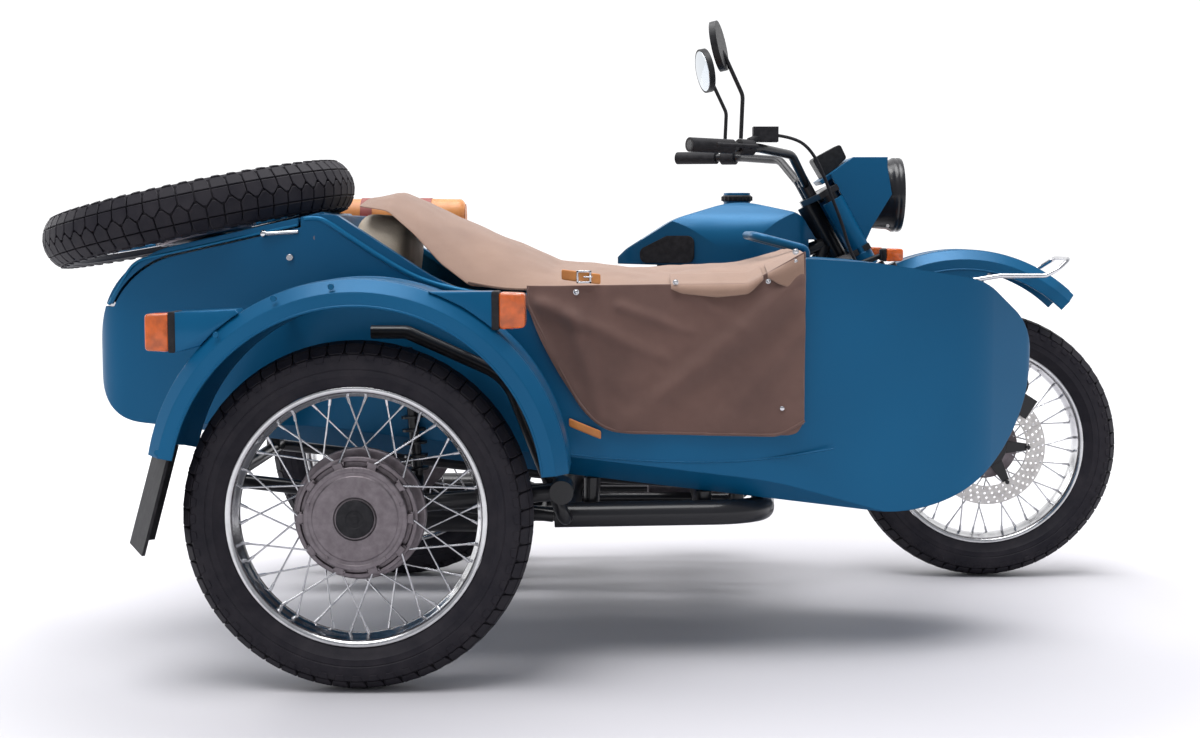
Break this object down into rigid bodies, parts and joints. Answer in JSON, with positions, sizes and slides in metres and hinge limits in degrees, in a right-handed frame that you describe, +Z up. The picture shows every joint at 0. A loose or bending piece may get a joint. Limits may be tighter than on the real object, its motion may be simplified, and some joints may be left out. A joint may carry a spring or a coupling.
{
  "type": "sidecar motorcycle",
  "caption": "Retro flat-twin motorcycle with a boat-shaped sidecar on its right, wire wheels, leading-link fork and a spare wheel on the boot lid.",
  "frame": {"origin": "on the floor, below the middle of the whole vehicle's bounding box, as it stands on its three wheels", "axes": "+X forward, the way the vehicle drives, +Y to the rider's left, +Z up"},
  "size_m": [2.5401, 1.661, 1.3904],
  "materials": {
    "blue_paint": "satin metallic paint",
    "black_paint": "satin black paint",
    "cast_grey": "cast, bead-blasted",
    "polished": "polished",
    "chrome": "bright",
    "steel": "drilled disc, brushed",
    "tyre": "block tread",
    "rubber": "matt",
    "plastic": "fine grain",
    "amber": "clear amber lenses on blue housings",
    "tan_leather": "soft grain",
    "cream_leather": "soft grain",
    "canvas": "waxed canvas",
    "lens": "ribbed lens"
  },
  "bodies": {
    "chassis": {"cockpit_cover": "canvas", "cylinder_left": "cast_grey", "cylinder_right": "cast_grey", "engine": "cast_grey", "exhausts": "black_paint", "fender_lamps": "amber", "fender_stays": "black_paint", "final_drive": "cast_grey", "fuel_tank": "blue_paint", "grab_bar": "blue_paint", "intake": "plastic", "knee_pads": "rubber", "leather_roll": "tan_leather", "moto_frame": "black_paint", "mud_flap": "rubber", "rear_arm": "black_paint", "rear_fender": "blue_paint", "rear_rack": "black_paint", "rear_springs": "black_paint", "saddle": "tan_leather", "side_arm": "black_paint", "sidecar_fender": "blue_paint", "sidecar_frame": "black_paint", "sidecar_seat": "cream_leather", "spring_tower": "black_paint", "tail_frame": "black_paint", "tail_lamp": "plastic", "tub": "blue_paint"},
    "front_wheel": {"front_tyre": "tyre", "front_rim": "polished", "front_hub": "cast_grey", "brake_disc": "steel"},
    "rear_wheel": {"rear_tyre": "tyre", "rear_rim": "polished", "rear_hub": "cast_grey"},
    "sidecar_wheel": {"side_tyre": "tyre", "side_rim": "polished", "side_hub": "cast_grey"},
    "boot_lid": {"trunk_lid": "blue_paint", "spare_carrier": "chrome", "spare_tyre": "tyre", "spare_rim": "polished", "spare_hub": "cast_grey"},
    "steering": {"fork": "black_paint", "fork_covers": "blue_paint", "fork_links": "black_paint", "front_fender": "blue_paint", "fender_guard": "chrome", "headlamp": "black_paint", "headlamp_glass": "lens", "nacelle": "blue_paint", "instrument": "plastic", "handlebar": "black_paint", "controls": "rubber", "mirrors": "plastic", "front_signals": "amber", "brake_caliper": "black_paint", "cables": "rubber"},
    "stand": {"centre_stand": "black_paint"}
  },
  "joints": [
    {"name": "steering", "type": "hinge", "parent": "chassis", "child": "steering", "pos_m": [0.50814, 0.4167, 0.892], "axis": [-0.4848, 0, 0.8746], "range_deg": [-32, 32]},
    {"name": "front_wheel_spin", "type": "hinge", "parent": "steering", "child": "front_wheel", "pos_m": [0.92814, 0.4167, 0.342], "axis": [0, 1, 0], "continuous": true},
    {"name": "rear_wheel_spin", "type": "hinge", "parent": "chassis", "child": "rear_wheel", "pos_m": [-0.57186, 0.4167, 0.342], "axis": [0, 1, 0], "continuous": true},
    {"name": "sidecar_wheel_spin", "type": "hinge", "parent": "chassis", "child": "sidecar_wheel", "pos_m": [-0.52185, -0.7233, 0.342], "axis": [0, 1, 0], "continuous": true},
    {"name": "boot_lid_hinge", "type": "hinge", "parent": "chassis", "child": "boot_lid", "pos_m": [-0.63785, -0.2333, 0.926], "axis": [0, 1, 0], "range_deg": [0, 35]},
    {"name": "stand_pivot", "type": "hinge", "parent": "chassis", "child": "stand", "pos_m": [-0.11986, 0.4167, 0.188], "axis": [0, -1, 0], "range_deg": [0, 45], "stiffness_Nm_per_rad": 8, "springref_deg": -34.38}
  ]
}
